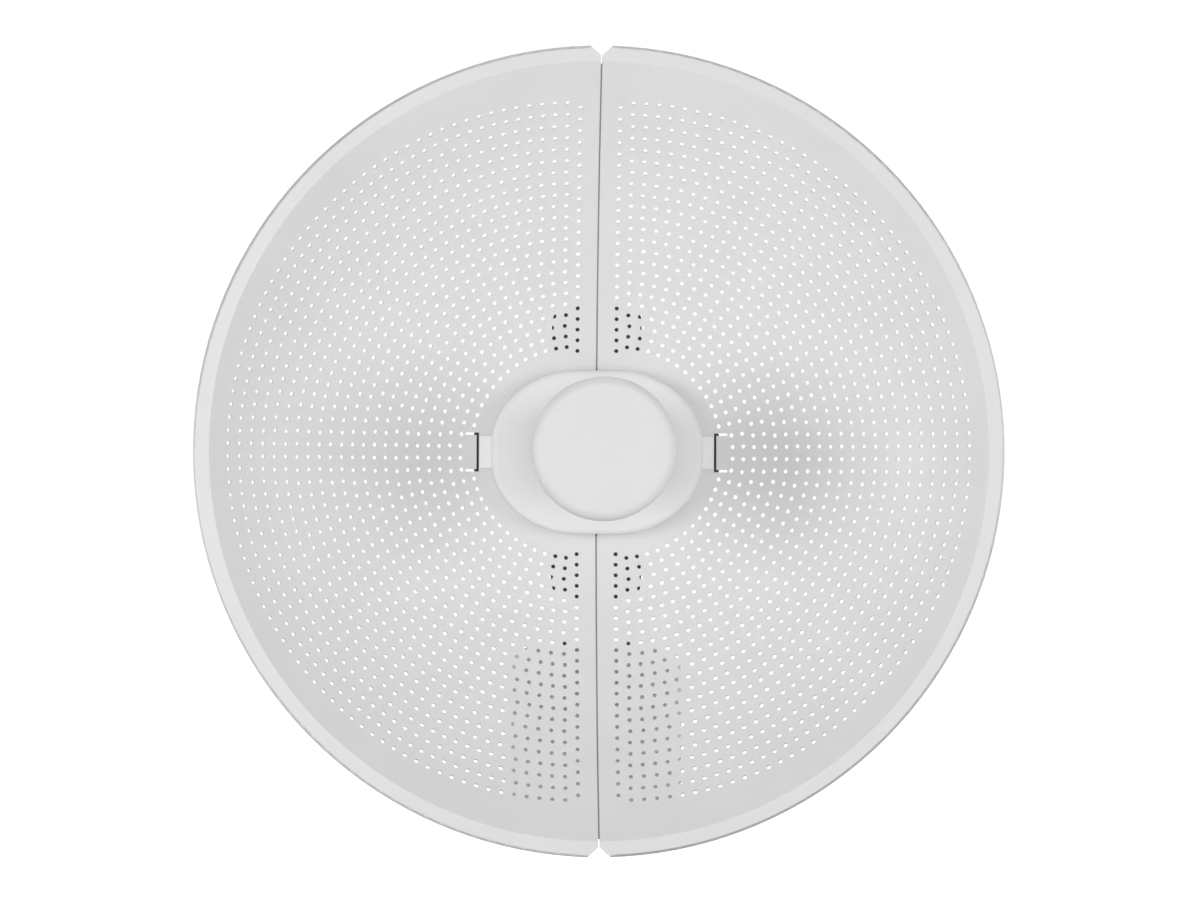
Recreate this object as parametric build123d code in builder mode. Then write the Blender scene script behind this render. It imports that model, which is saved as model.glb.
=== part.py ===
from build123d import *
import os
from math import acos, cos, degrees, floor, pi, radians, sin, sqrt

# Outdoor wireless bridge: a split, perforated steel dish on a pole bracket.
# The origin is on the pole's axis, level with the dish's axis. The dish faces -Y
# and +Z is up. An "ahead" value is a distance in front of the pole's axis.

# Dish
dish_diameter = 400.0
rim_width = 8.0
rim_lip = 4.0
rim_bend = 1.5
dish_depth = 72.0
sheet = 1.0
seam_gap = 0.8
seam_lip = 4.0
seam_corner = 6.0

# Perforation, as seen along the dish's axis
hole_radius = 1.05
ring_pitch = 5.4
first_ring = 54.4
hole_pitch = 6.36
spoke_offset = 10.0
spoke_shift = 2.2
rim_margin = 5.0
hub_margin = 5.0
sector_count = 12
extra_hole_share = 0.35
least_per_sector = 5

# Spring tongue that locks each half
tongue_clearance = 7.6
tongue_length = 5.0
tongue_half_height = 9.4
slit = 1.2

# Hub plinth
plinth_flat_top = 10.0
plinth_flat_side = 3.0
plinth_corner_x = 44.0
plinth_corner_z = 38.75
plinth_height = 20.0
plinth_wall = 2.5
plinth_front = 3.0
hub_overlap = 6.0
plinth_edge = 3.0
boss_front = 1.0
ear_gap = 0.3
ear_tip = 0.4
ear_ramp = 1.5
seat_gap = 0.1

# Feed
guide_bore = 19.0
guide_wall = 1.5
neck_gap = 0.5
neck_wall = 2.5
neck_flange_reach = 4.0
neck_flange_thick = 3.0
neck_bend = 6.0
spigot_wall = 1.0
spigot_gap = 0.15
flare_length = 14.0
flare_inset = 1.0
cap_seat = 4.0
cap_radius = 34.3
cap_face_radius = 33.6
cap_back = 112.0
cap_front = 147.0
cap_wall = 2.0
cap_taper = 22.0
cap_edge = 4.0
disc_radius = 27.5
disc_thick = 1.2
disc_cone = 3.0
disc_rim = 2.0
disc_gap = 6.0
spacer_wall = 3.0
spacer_reach = 10.0
touch_gap = 0.1

# Guide tube's closed end
guide_flange_width = 4.1
guide_flange_thick = 2.0
backshort_thick = 2.5
probe_radius = 0.8
probe_length = 16.0
probe_place = 11.0

# Cradle behind the dish
cradle_thick = 16.0
lug_reach = 37.0
cradle_wall = 3.0
cradle_floor = 4.0
cradle_corner = 8.0
rib_thick = 2.0
pocket_corner = 3.0
cover_thick = 1.8
arm_length = 129.0
arm_height = 48.0
spine_width = 46.0
spine_height = 150.0
drop_width = 16.0
drop_depth = 14.0
drop_flange_width = 36.0
drop_flange_depth = 22.0
drop_flange_thick = 3.0
drop_flange_corner = 4.0
hanger_screw_x = 12.0
lead_radius = 1.2
lead_gap = 0.4
lead_bend = 5.0

# Screws
m3_radius = 1.5
m3_head_radius = 2.8
m3_head_height = 2.2
m3_socket = 1.5
m4_radius = 2.0
m4_head_radius = 3.6
m4_head_height = 2.6
m4_socket = 2.0
plinth_screw_x = 15.0
plinth_screw_z = 33.0
boss_wall = 2.2
screw_gap = 0.2

# Radio box
box_top = 101.0
box_width = 88.0
box_height = 87.0
box_setback = 6.0
rear_shell_depth = 22.0
front_shell_depth = 11.0
box_corner = 12.0
box_edge = 3.5
box_wall = 3.0
post_margin = 0.5
post_from_edge = 14.0
head_sink = 0.6
label_width = 46.0
label_height = 20.0
label_depth = 0.6
label_corner = 3.0
seal_inset = 0.8
seal_width = 1.4
seal_height = 1.5
seal_gap = 0.05
bay_depth = 28.0
bay_width = 50.0
bay_wall = 1.8

# Boards and jack
board_thick = 1.6
board_gap = 1.5
board_setback = 2.5
jack_width = 16.0
jack_depth = 13.0
jack_length = 20.0
socket_width = 12.0
socket_height = 8.6
socket_depth = 14.0
latch_height = 2.6
can_width = 40.0
can_height = 30.0
can_depth = 4.0
spreader_thick = 3.0
spreader_margin = 8.0
board_corner = 4.0
board_inset = 2.0
can_wall = 0.4

# Reset button, status lights, vent and earth screw
button_x = 17.0
button_from_board = 7.0
button_radius = 2.4
button_travel = 0.8
button_gap = 0.3
button_collar = 1.2
button_proud = 2.0
switch_width = 7.0
switch_height = 6.0
light_radius = 1.5
light_pitch = 7.0
light_count = 4
light_left = 36.0
light_above_bay = 10.0
light_bar = 2.0
vent_radius = 4.5
vent_head = 1.6
vent_hole = 0.5
earth_x = 33.0
insert_wall = 1.2
insert_length = 8.0
earth_washer_radius = 4.6
earth_washer_thick = 1.0

# Port door and cable seal
door_thick = 2.0
door_gap = 0.4
door_pin_radius = 1.5
door_pin_gap = 0.06
barrel_wall = 1.1
gland_radius = 4.6
gland_flange = 5.3
gland_lip = 1.0
gland_bore = 2.7

# Tilt joint
tilt_offset = 13.0
lug_radius = 12.0
lug_thick = 7.0
lug_gap = 0.3
ear_thick = 24.0
bolt_radius = 4.0
bolt_gap = 0.1
bolt_head_radius = 7.0
bolt_head_thick = 5.0
washer_radius = 8.5
washer_thick = 1.6
nut_radius = 6.5
nut_length = 9.0
nut_gap = 0.06
wing_reach = 15.0
wing_length = 11.0
wing_thick = 3.0
wing_rise = 4.0
wing_root = 2.5
nut_taper = 8.0
bolt_overhang = 3.0
turn_gap = 0.2

# Pole clamp
pole_radius = 25.0
saddle_half_width = 22.0
saddle_height = 76.0
saddle_thick = 14.0
saddle_ridge = 1.0
saddle_shoulder = 4.0
vee_angle = 32.0
pad_inset = 2.0
pad_corner = 2.0
pad_thick = 2.5
pad_width = 14.0
band_spacing = 52.0
band_width = 12.7
band_thick = 0.8
band_corner = 7.0
band_gap = 0.3
slot_count = 16
slot_pitch_angle = 9.0
slot_across = 8.0
slot_along = 1.6
slot_tilt = 15.0
housing_length = 16.0
housing_depth = 9.5
housing_gap = 0.05
worm_radius = 3.4
worm_gap = 0.08
worm_head_radius = 4.6
worm_head_length = 6.0
worm_overhang = 3.0
worm_neck = 1.0
worm_slot = 1.0
worm_slot_depth = 2.0
housing_corner = 2.5
housing_side = 1.0

# Places that follow from the sizes above
saddle_front = pole_radius + saddle_thick
pole_to_tilt = saddle_front + tilt_offset
cradle_rear = pole_to_tilt + lug_reach
pole_to_vertex = cradle_rear + cradle_thick
box_rear = cradle_rear - box_setback
box_part = box_rear + rear_shell_depth
box_front = box_part + front_shell_depth
board_ahead = box_part - board_setback
feed_pocket = guide_bore + guide_wall + guide_flange_width
plinth_half_width = plinth_flat_top + plinth_corner_x
plinth_half_height = plinth_flat_side + plinth_corner_z
tongue_tip = plinth_half_width + tongue_clearance
tongue_root = tongue_tip + tongue_length

os.makedirs("parts", exist_ok=True)

# Axial profiles are drawn as (radius, distance ahead of the pole's axis).
profile = Plane(origin=(0, 0, 0), x_dir=(1, 0, 0), z_dir=(0, 0, -1))


def save(piece, name):
    """Labels one piece and writes it as its own STEP file."""
    piece.part.label = name
    export_step(piece.part, f"parts/{name}.step")


def ahead(distance):
    """The plane across the dish's axis at a distance in front of the pole's axis."""
    return Plane.XZ.offset(distance)


# ---------------------------------------------------------------- dish
# Each half is one pressing: a spherical bowl, a flat rim with a turned-back lip, and
# a fold along the seam. It is modelled about the bowl's centre and then put in place.
bowl_radius = dish_diameter / 2 - rim_width
curve = (bowl_radius**2 + dish_depth**2) / (2 * dish_depth)
rim_level = curve - dish_depth
bowl_centre = pole_to_vertex + curve


def bowl_rise(radius):
    """How far ahead of the vertex the bowl's front is at a radius."""
    return curve - sqrt(curve**2 - radius**2)


def plinth_outline(inset=0.0):
    """The plinth's flat-sided oval in the open sketch, drawn a distance inside its edge."""
    with GridLocations(2 * plinth_flat_top, 2 * plinth_flat_side, 2, 2):
        Ellipse(plinth_corner_x - inset, plinth_corner_z - inset)
    Rectangle(2 * plinth_flat_top, 2 * (plinth_half_height - inset))
    Rectangle(2 * (plinth_half_width - inset), 2 * plinth_flat_side)


def near_hub(x, z):
    """Whether a hole would run under the plinth or its margin."""
    across = max(abs(x) - plinth_flat_top, 0) / (plinth_corner_x + hub_margin)
    up = max(abs(z) - plinth_flat_side, 0) / (plinth_corner_z + hub_margin)
    return across**2 + up**2 < 1


def near_tongue(x, z):
    """Whether a hole would weaken the spring tongue."""
    beside = plinth_half_width - hub_margin < abs(x) < tongue_root + slit + hole_radius
    return beside and abs(z) < tongue_half_height + slit + 2 * hole_radius


def hole_places():
    """Hole centres (x, z) of the left half: rings about a spoke beside the seam."""
    ring_count = floor((bowl_radius - rim_margin - first_ring - spoke_offset) / ring_pitch) + 1
    sector = 2 * pi / sector_count
    places = []
    for ring in range(ring_count):
        radius = first_ring + ring * ring_pitch
        per_sector = floor(radius * sector / hole_pitch + extra_hole_share)
        steps = sector_count // 2 * max(per_sector, least_per_sector) + 1
        for i in range(1, steps):
            angle = pi / 2 + pi * i / steps
            places.append((radius * cos(angle) - spoke_offset, radius * sin(angle)))
        for side in (1, -1):
            places.append((-spoke_offset, side * (radius - spoke_shift)))
    return [(x, z) for x, z in places if not near_hub(x, z) and not near_tongue(x, z)]


def punch_direction(x, z):
    """A punch stands square to the sheet, so its line runs through the bowl's centre."""
    return Location(Plane(origin=(0, 0, 0), z_dir=(x, sqrt(curve**2 - x**2 - z**2), z)))


with BuildPart() as punch:
    with BuildSketch(Plane.XZ):
        with Locations((hole_radius / 2, curve)):
            Rectangle(hole_radius, 8 * sheet)
    revolve(axis=Axis.Z)

bowl_angle = degrees(acos(rim_level / curve))
back_angle = degrees(acos((rim_level + sheet) / (curve + sheet)))

with BuildPart() as seam_fold:
    with BuildSketch(Plane.XY):
        with BuildLine():
            fold_front = CenterArc((0, 0), curve + sheet / 2, 90 - back_angle, back_angle)
            fold_back = CenterArc((0, 0), curve + sheet + seam_lip, 90 - back_angle, back_angle)
            Line(fold_front @ 0, fold_back @ 0)
            Line(fold_front @ 1, fold_back @ 1)
        make_face()
    revolve(axis=Axis.Y)
    split(bisect_by=Plane.YZ.offset(-seam_gap / 2), keep=Keep.BOTTOM)
    split(bisect_by=Plane.YZ.offset(-seam_gap / 2 - sheet), keep=Keep.TOP)
    Box(4 * sheet, 4 * curve, spine_height + 4 * sheet, mode=Mode.SUBTRACT)

with BuildPart() as left_pressing:
    with BuildSketch(Plane.XY) as bowl_profile:
        with BuildLine():
            bowl_front = CenterArc((0, 0), curve, 90 - bowl_angle, bowl_angle)
            bowl_back = CenterArc((0, 0), curve + sheet, 90 - back_angle, back_angle)
            Polyline(
                bowl_front @ 0,
                (dish_diameter / 2, rim_level),
                (dish_diameter / 2, rim_level + rim_lip),
                (dish_diameter / 2 - sheet, rim_level + rim_lip),
                (dish_diameter / 2 - sheet, rim_level + sheet),
                bowl_back @ 0,
            )
            Line(bowl_front @ 1, bowl_back @ 1)
        make_face()
        fillet(bowl_profile.vertices().sort_by_distance((dish_diameter / 2, rim_level))[0], rim_bend)
    revolve(axis=Axis.Y)
    split(bisect_by=Plane.YZ.offset(-seam_gap / 2), keep=Keep.BOTTOM)
    add(seam_fold.part)
    # opening that the feed passes through, covered by the plinth
    with BuildSketch(Plane.XZ.offset(-curve + dish_depth)):
        plinth_outline(hub_overlap)
    extrude(amount=-2 * dish_depth, mode=Mode.SUBTRACT)
    # slits that free the tongue on three sides
    with BuildSketch(Plane.XZ.offset(-curve + dish_depth)):
        with Locations((-tongue_tip + slit / 2, 0)):
            Rectangle(slit, 2 * tongue_half_height + slit)
        with Locations((-(tongue_tip + tongue_root) / 2, tongue_half_height)):
            Rectangle(tongue_root - tongue_tip + slit, slit)
        with Locations((-(tongue_tip + tongue_root) / 2, -tongue_half_height)):
            Rectangle(tongue_root - tongue_tip + slit, slit)
    extrude(amount=-2 * dish_depth, mode=Mode.SUBTRACT)
    # clipped corners where the rim meets the seam
    with BuildSketch(Plane.XZ.offset(-rim_level + sheet)):
        for side in (1, -1):
            with BuildLine():
                Polyline(
                    (sheet, side * (dish_diameter / 2 + sheet)),
                    (-seam_corner - sheet, side * (dish_diameter / 2 + sheet)),
                    (sheet, side * (dish_diameter / 2 - seam_corner)),
                    close=True,
                )
            make_face()
    extrude(amount=-3 * rim_lip, mode=Mode.SUBTRACT)
    with Locations(*[punch_direction(x, z) for x, z in hole_places()]):
        add(punch.part, mode=Mode.SUBTRACT)

with BuildPart() as reflector_left:
    with Locations((0, -bowl_centre, 0)):
        add(left_pressing.part)

with BuildPart() as reflector_right:
    add(mirror(reflector_left.part, about=Plane.YZ, mode=Mode.PRIVATE))

save(reflector_left, "reflector_left")
save(reflector_right, "reflector_right")

# ---------------------------------------------------------------- plinth
# White moulding that clamps the inner edges of both halves against the cradle. Its
# ears stop against the spring tongues.
plinth_ahead = pole_to_vertex + plinth_height
ear_reach = tongue_tip - slit - ear_gap
ear_tip_ahead = pole_to_vertex + bowl_rise(tongue_tip) + ear_tip
neck_outer = guide_bore + guide_wall + neck_gap + neck_wall
spigot_radius = neck_outer + spigot_wall
neck_flange = spigot_radius + neck_flange_reach
screw_corners = [(x, z) for x in (-plinth_screw_x, plinth_screw_x) for z in (-plinth_screw_z, plinth_screw_z)]
pocket_floor = pole_to_vertex - cradle_floor

with BuildPart() as hub_plinth:
    with BuildSketch(ahead(pole_to_vertex)):
        plinth_outline()
    extrude(amount=plinth_height)
    fillet(hub_plinth.faces().sort_by(Axis.Y)[0].edges(), plinth_edge)
    with BuildSketch(ahead(pole_to_vertex)):
        plinth_outline(plinth_wall)
    extrude(amount=plinth_height - plinth_front, mode=Mode.SUBTRACT)
    for side in (1, -1):
        with BuildSketch(profile.offset(-tongue_half_height + slit)):
            with BuildLine():
                Polyline(
                    (side * (plinth_half_width - plinth_wall), pole_to_vertex),
                    (side * ear_reach, pole_to_vertex),
                    (side * ear_reach, ear_tip_ahead),
                    (side * plinth_half_width, ear_tip_ahead + ear_ramp),
                    (side * (plinth_half_width - plinth_wall), ear_tip_ahead + ear_ramp),
                    close=True,
                )
            make_face()
        extrude(amount=2 * (tongue_half_height - slit))
    # ring that carries the neck, and four screw bosses
    with BuildSketch(ahead(pole_to_vertex)):
        Circle(spigot_radius + plinth_wall)
        with Locations(*screw_corners):
            Circle(m4_radius + boss_wall)
    extrude(amount=plinth_height - plinth_front / 2)
    with BuildSketch(ahead(pole_to_vertex)):
        Circle(spigot_radius + spigot_gap)
    extrude(amount=2 * plinth_height, mode=Mode.SUBTRACT)
    with BuildSketch(ahead(pole_to_vertex)):
        with Locations(*screw_corners):
            Circle(m4_radius)
    extrude(amount=plinth_height - plinth_front - boss_front, mode=Mode.SUBTRACT)
    with Locations((0, -bowl_centre, 0)):
        Sphere(curve - seat_gap, mode=Mode.INTERSECT)

save(hub_plinth, "hub_plinth")

# ---------------------------------------------------------------- feed
# The neck is a white tube with a foot on the plinth and a flare that closes the
# cap's back. The cap holds the metal disc that throws the signal into the bowl.
cap_back_ahead = pole_to_vertex + cap_back
cap_front_ahead = pole_to_vertex + cap_front
flare_radius = cap_radius - cap_wall - spigot_gap
neck_foot_top = plinth_ahead + 3 * neck_flange_thick
flare_foot = cap_back_ahead - flare_length
neck_bore = guide_bore + guide_wall + neck_gap

with BuildPart() as feed_neck:
    with BuildSketch(profile) as neck_profile:
        with BuildLine():
            Polyline(
                (neck_bore, plinth_ahead - 2 * plinth_front),
                (spigot_radius, plinth_ahead - 2 * plinth_front),
                (spigot_radius, plinth_ahead),
                (neck_flange, plinth_ahead),
                (neck_flange, plinth_ahead + neck_flange_thick),
                (neck_outer, neck_foot_top),
                (neck_outer, flare_foot),
                (cap_radius - flare_inset, cap_back_ahead - 2 * flare_inset),
                (cap_radius - flare_inset, cap_back_ahead - touch_gap),
                (flare_radius, cap_back_ahead - touch_gap),
                (flare_radius, cap_back_ahead + cap_seat),
                (neck_bore, cap_back_ahead + cap_seat),
                close=True,
            )
        make_face()
        foot = neck_profile.vertices().sort_by_distance((neck_outer, neck_foot_top))[0]
        flare = neck_profile.vertices().sort_by_distance((neck_outer, flare_foot))[0]
        fillet([foot, flare], neck_bend)
    revolve(axis=Axis.Y)

save(feed_neck, "feed_neck")

with BuildPart() as feed_cap:
    with BuildSketch(profile) as cap_profile:
        with BuildLine():
            Polyline(
                (0, cap_front_ahead),
                (cap_face_radius, cap_front_ahead),
                (cap_radius, cap_front_ahead - cap_taper),
                (cap_radius, cap_back_ahead),
                (cap_radius - cap_wall, cap_back_ahead),
                (cap_radius - cap_wall, cap_front_ahead - cap_taper),
                (cap_face_radius - cap_wall, cap_front_ahead - cap_wall),
                (0, cap_front_ahead - cap_wall),
                close=True,
            )
        make_face()
        outer = cap_profile.vertices().sort_by_distance((cap_face_radius, cap_front_ahead))[0]
        inner_place = (cap_face_radius - cap_wall, cap_front_ahead - cap_wall)
        inner = cap_profile.vertices().sort_by_distance(inner_place)[0]
        fillet(outer, cap_edge)
        fillet(inner, cap_edge - cap_wall)
    revolve(axis=Axis.Y)

save(feed_cap, "feed_cap")

disc_ahead = cap_front_ahead - cap_wall - disc_gap

with BuildPart() as sub_reflector:
    with BuildSketch(profile):
        with BuildLine():
            Polyline(
                (0, disc_ahead - disc_cone),
                (disc_radius - disc_rim, disc_ahead - disc_thick),
                (disc_radius, disc_ahead - disc_thick),
                (disc_radius, disc_ahead),
                (disc_radius - disc_rim, disc_ahead),
                (0, disc_ahead - disc_cone + disc_thick),
                close=True,
            )
        make_face()
    revolve(axis=Axis.Y)

save(sub_reflector, "sub_reflector")

spacer_top = disc_ahead - disc_thick - touch_gap
guide_front = cap_back_ahead + spigot_wall
spacer_foot = guide_front - spacer_reach

with BuildPart() as dielectric_spacer:
    with BuildSketch(profile):
        with BuildLine():
            Polyline(
                (guide_bore - spacer_wall, spacer_foot),
                (guide_bore - spigot_gap, spacer_foot),
                (guide_bore - spigot_gap, guide_front),
                (guide_bore + guide_wall, guide_front),
                (guide_bore + guide_wall, cap_back_ahead + cap_seat + spigot_wall),
                (disc_radius, spacer_top),
                (disc_radius - disc_rim, spacer_top),
                (guide_bore - spacer_wall, cap_back_ahead + cap_seat),
                close=True,
            )
        make_face()
    revolve(axis=Axis.Y)

save(dielectric_spacer, "dielectric_spacer")

# ---------------------------------------------------------------- feed electronics
# The guide tube ends in a flange in the cradle's pocket. Behind it lie the probe
# board and the plate that closes the guide.
backshort_rear = cradle_rear + cradle_wall
probe_rear = backshort_rear + backshort_thick
guide_rear = probe_rear + board_thick

with BuildPart() as waveguide:
    with BuildSketch(profile):
        with BuildLine():
            Polyline(
                (guide_bore, guide_rear),
                (feed_pocket - screw_gap, guide_rear),
                (feed_pocket - screw_gap, guide_rear + guide_flange_thick),
                (guide_bore + guide_wall, guide_rear + guide_flange_thick),
                (guide_bore + guide_wall, guide_front),
                (guide_bore, guide_front),
                close=True,
            )
        make_face()
    revolve(axis=Axis.Y)

save(waveguide, "waveguide")

with BuildPart() as backshort:
    with BuildSketch(ahead(backshort_rear)):
        Circle(feed_pocket - screw_gap)
        with Locations((0, -feed_pocket)):
            Rectangle(drop_width, drop_width, mode=Mode.SUBTRACT)
    extrude(amount=backshort_thick)

save(backshort, "backshort")

with BuildPart() as probe_board:
    with BuildSketch(ahead(probe_rear)):
        Circle(feed_pocket - screw_gap)
    extrude(amount=board_thick)

save(probe_board, "probe_board")

with BuildPart() as probes:
    with BuildSketch(ahead(guide_rear)):
        with Locations((0, probe_place), (probe_place, 0)):
            Circle(probe_radius)
    extrude(amount=probe_length)

save(probes, "probes")

# ---------------------------------------------------------------- cradle
# Dark moulding behind the dish: cross arms, an upright spine and a narrow drop that
# carries the radio box. Its front follows the sheet, and two lugs take the tilt bolt.
drop_foot = box_top - drop_flange_thick
pocket_z = (spine_height / 2 + feed_pocket + cradle_wall) / 2
pocket_height = spine_height / 2 - feed_pocket - 2 * cradle_wall
pocket_width = spine_width - 2 * cradle_wall
arm_pocket_height = arm_height - 4 * cradle_wall
arm_pocket_length = arm_length - 2 * cradle_wall
lug_inner = ear_thick / 2 + lug_gap
lug_foot = feed_pocket - cradle_floor
drop_ahead = cradle_rear + drop_depth / 2
hanger_places = [(side * hanger_screw_x, -drop_ahead) for side in (1, -1)]
lead_ahead = backshort_rear + lead_radius + touch_gap / 2
lead_slot_width = 2 * (lead_radius + lead_gap)
lead_slot_length = lead_slot_width + 2 * (lead_radius + lead_gap)
lead_top = 2 * lead_radius - feed_pocket

with BuildPart() as cradle:
    with BuildSketch(ahead(cradle_rear)):
        RectangleRounded(arm_length, arm_height, (arm_height - rib_thick) / 2)
        RectangleRounded(spine_width, spine_height, cradle_corner)
    extrude(amount=2 * cradle_thick)
    with Locations((0, -bowl_centre, 0)):
        Sphere(curve + sheet + seat_gap, mode=Mode.SUBTRACT)
    # drop and its flange on the radio box
    with BuildSketch(Plane.XY.offset(-drop_foot)):
        with Locations((0, -drop_ahead)):
            Rectangle(drop_width, drop_depth)
    extrude(amount=drop_foot - spine_height / 2 + cradle_wall)
    with BuildSketch(Plane.XY.offset(-box_top)):
        with Locations((0, -drop_ahead)):
            RectangleRounded(drop_flange_width, drop_flange_depth, drop_flange_corner)
    extrude(amount=drop_flange_thick)
    # feed pocket from the front, moulding pockets from the rear
    with BuildSketch(ahead(backshort_rear)):
        Circle(feed_pocket)
    extrude(amount=2 * cradle_thick, mode=Mode.SUBTRACT)
    with BuildSketch(ahead(cradle_rear)):
        with Locations((0, -pocket_z)):
            RectangleRounded(pocket_width, pocket_height, pocket_corner)
        with Locations((0, pocket_z)):
            with GridLocations(pocket_width / 2 + rib_thick / 2, pocket_height / 2 + rib_thick / 2, 2, 2):
                RectangleRounded(
                    (pocket_width - rib_thick) / 2, (pocket_height - rib_thick) / 2, pocket_corner
                )
    extrude(amount=pocket_floor - cradle_rear, mode=Mode.SUBTRACT)
    with BuildSketch(ahead(cradle_rear)):
        RectangleRounded(arm_pocket_length, arm_pocket_height, (arm_pocket_height - rib_thick) / 2)
        Rectangle(2 * (feed_pocket + cradle_wall), arm_height, mode=Mode.SUBTRACT)
        with GridLocations(0, arm_pocket_height / 3, 1, 2):
            Rectangle(arm_length, rib_thick, mode=Mode.SUBTRACT)
    extrude(amount=pocket_floor - cradle_rear, mode=Mode.SUBTRACT)
    # way for the leads: feed pocket to lower pocket, and down the drop
    with BuildSketch(Plane.XY.offset(-box_top)):
        with Locations((0, -lead_ahead)):
            SlotOverall(lead_slot_length, lead_slot_width)
    extrude(amount=box_top - feed_pocket + cradle_wall, mode=Mode.SUBTRACT)
    with BuildSketch(ahead(cradle_rear)):
        with Locations(*screw_corners):
            Circle(m4_radius + screw_gap)
    extrude(amount=2 * cradle_thick, mode=Mode.SUBTRACT)
    # lugs of the tilt joint
    for side in (1, -1):
        with BuildSketch(Plane.YZ.offset(side * (lug_inner + lug_thick / 2))):
            with BuildLine():
                CenterArc((-pole_to_tilt, 0), lug_radius, -90, 180)
                Polyline(
                    (-pole_to_tilt, lug_radius),
                    (-cradle_rear - cradle_wall / 2, lug_foot),
                    (-cradle_rear - cradle_wall / 2, -lug_foot),
                    (-pole_to_tilt, -lug_radius),
                )
            make_face()
            with Locations((-pole_to_tilt, 0)):
                Circle(bolt_radius + bolt_gap, mode=Mode.SUBTRACT)
        extrude(amount=lug_thick / 2, both=True)
    # tapped holes under the drop's flange
    with BuildSketch(Plane.XY.offset(-box_top)):
        with Locations(*hanger_places):
            Circle(m3_radius)
    extrude(amount=drop_flange_thick, mode=Mode.SUBTRACT)

save(cradle, "cradle")

with BuildPart() as cradle_screws:
    for x, z in screw_corners:
        with BuildSketch(ahead(pocket_floor - m4_head_height)):
            with Locations((x, z)):
                Circle(m4_head_radius)
                RegularPolygon(m4_socket, 6, mode=Mode.SUBTRACT)
        extrude(amount=m4_head_height / 2)
        with BuildSketch(ahead(pocket_floor - m4_head_height / 2)):
            with Locations((x, z)):
                Circle(m4_head_radius)
        extrude(amount=m4_head_height / 2)
        with BuildSketch(ahead(pocket_floor)):
            with Locations((x, z)):
                Circle(m4_radius)
        extrude(amount=plinth_ahead - plinth_front - 2 * boss_front - pocket_floor)

save(cradle_screws, "cradle_screws")

with BuildPart() as spine_cover:
    with BuildSketch(ahead(cradle_rear)):
        with Locations((0, -pocket_z)):
            RectangleRounded(
                pocket_width - 2 * screw_gap, pocket_height - 2 * screw_gap, pocket_corner - screw_gap
            )
    extrude(amount=cover_thick)

save(spine_cover, "spine_cover")

with BuildPart() as coax_leads:
    for side in (1, -1):
        lead_x = side * (lead_radius + lead_gap / 2)
        lead_turn = -box_top - box_wall - 2 * lead_bend
        with BuildLine():
            FilletPolyline(
                (lead_x, -lead_ahead, lead_top),
                (lead_x, -lead_ahead, lead_turn),
                (lead_x, touch_gap - board_ahead, lead_turn),
                radius=lead_bend,
            )
        with BuildSketch(Plane(origin=(lead_x, -lead_ahead, lead_top), z_dir=(0, 0, -1))):
            Circle(lead_radius)
        sweep()

save(coax_leads, "coax_leads")

# ---------------------------------------------------------------- radio box
# Two white shells meet on a rubber seal. The rear shell hangs on the drop's flange
# and holds the port bay, which a hinged door closes from below.
box_bottom = box_top + box_height
box_middle = (0, -box_top - box_height / 2)
bay_roof = box_bottom - bay_depth
bay_rear = box_rear + box_wall
bay_front = box_part - bay_wall
post_inset = box_wall + m3_radius + post_margin
post_x = box_width / 2 - post_inset
post_radius = m3_radius + boss_wall
post_heights = (-box_top - post_from_edge, -box_bottom + post_from_edge)
post_places = [(x, z) for x in (-post_x, post_x) for z in post_heights]
jack_place = (0, -board_ahead + jack_depth / 2)
button_place = (button_x, -board_ahead + button_from_board)
light_z = -bay_roof + light_above_bay
light_places = [(-light_left + light_pitch * i, light_z) for i in range(light_count)]
vent_place = (post_x - 2 * post_radius - vent_radius, -box_top - post_from_edge)
earth_place = (earth_x, light_z)
insert_radius = m4_radius + insert_wall
pin_ahead = bay_front - door_gap - door_pin_radius - door_pin_gap - barrel_wall
pin_z = -box_bottom + door_pin_radius + door_pin_gap + barrel_wall
barrel_radius = door_pin_radius + door_pin_gap + barrel_wall


def box_outline(inset):
    """The radio box's outline, as seen from the front, drawn a distance inside its edge."""
    with Locations(box_middle):
        RectangleRounded(box_width - 2 * inset, box_height - 2 * inset, box_corner - inset)


with BuildPart() as radio_front_shell:
    with BuildSketch(ahead(box_part)):
        box_outline(0)
    extrude(amount=box_front - box_part)
    fillet(radio_front_shell.faces().sort_by(Axis.Y)[0].edges(), box_edge)
    with BuildSketch(ahead(box_part)):
        box_outline(box_wall)
    extrude(amount=box_front - box_part - box_wall, mode=Mode.SUBTRACT)
    with BuildSketch(ahead(box_part)):
        with Locations(*post_places):
            Circle(post_radius)
    extrude(amount=box_front - box_part - box_wall / 2)
    with BuildSketch(ahead(box_part)):
        with Locations(*post_places):
            Circle(m3_radius)
    extrude(amount=box_front - box_part - box_wall, mode=Mode.SUBTRACT)
    with BuildSketch(ahead(box_part)):
        box_outline(seal_inset - seal_gap)
        with Locations(box_middle):
            inset = seal_inset + seal_width + seal_gap
            RectangleRounded(
                box_width - 2 * inset, box_height - 2 * inset, box_corner - inset, mode=Mode.SUBTRACT
            )
    extrude(amount=seal_height + seal_gap, mode=Mode.SUBTRACT)

save(radio_front_shell, "radio_front_shell")

with BuildPart() as shell_seal:
    with BuildSketch(ahead(box_part)):
        box_outline(seal_inset)
        with Locations(box_middle):
            inset = seal_inset + seal_width
            RectangleRounded(
                box_width - 2 * inset, box_height - 2 * inset, box_corner - inset, mode=Mode.SUBTRACT
            )
    extrude(amount=seal_height)

save(shell_seal, "shell_seal")

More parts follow.
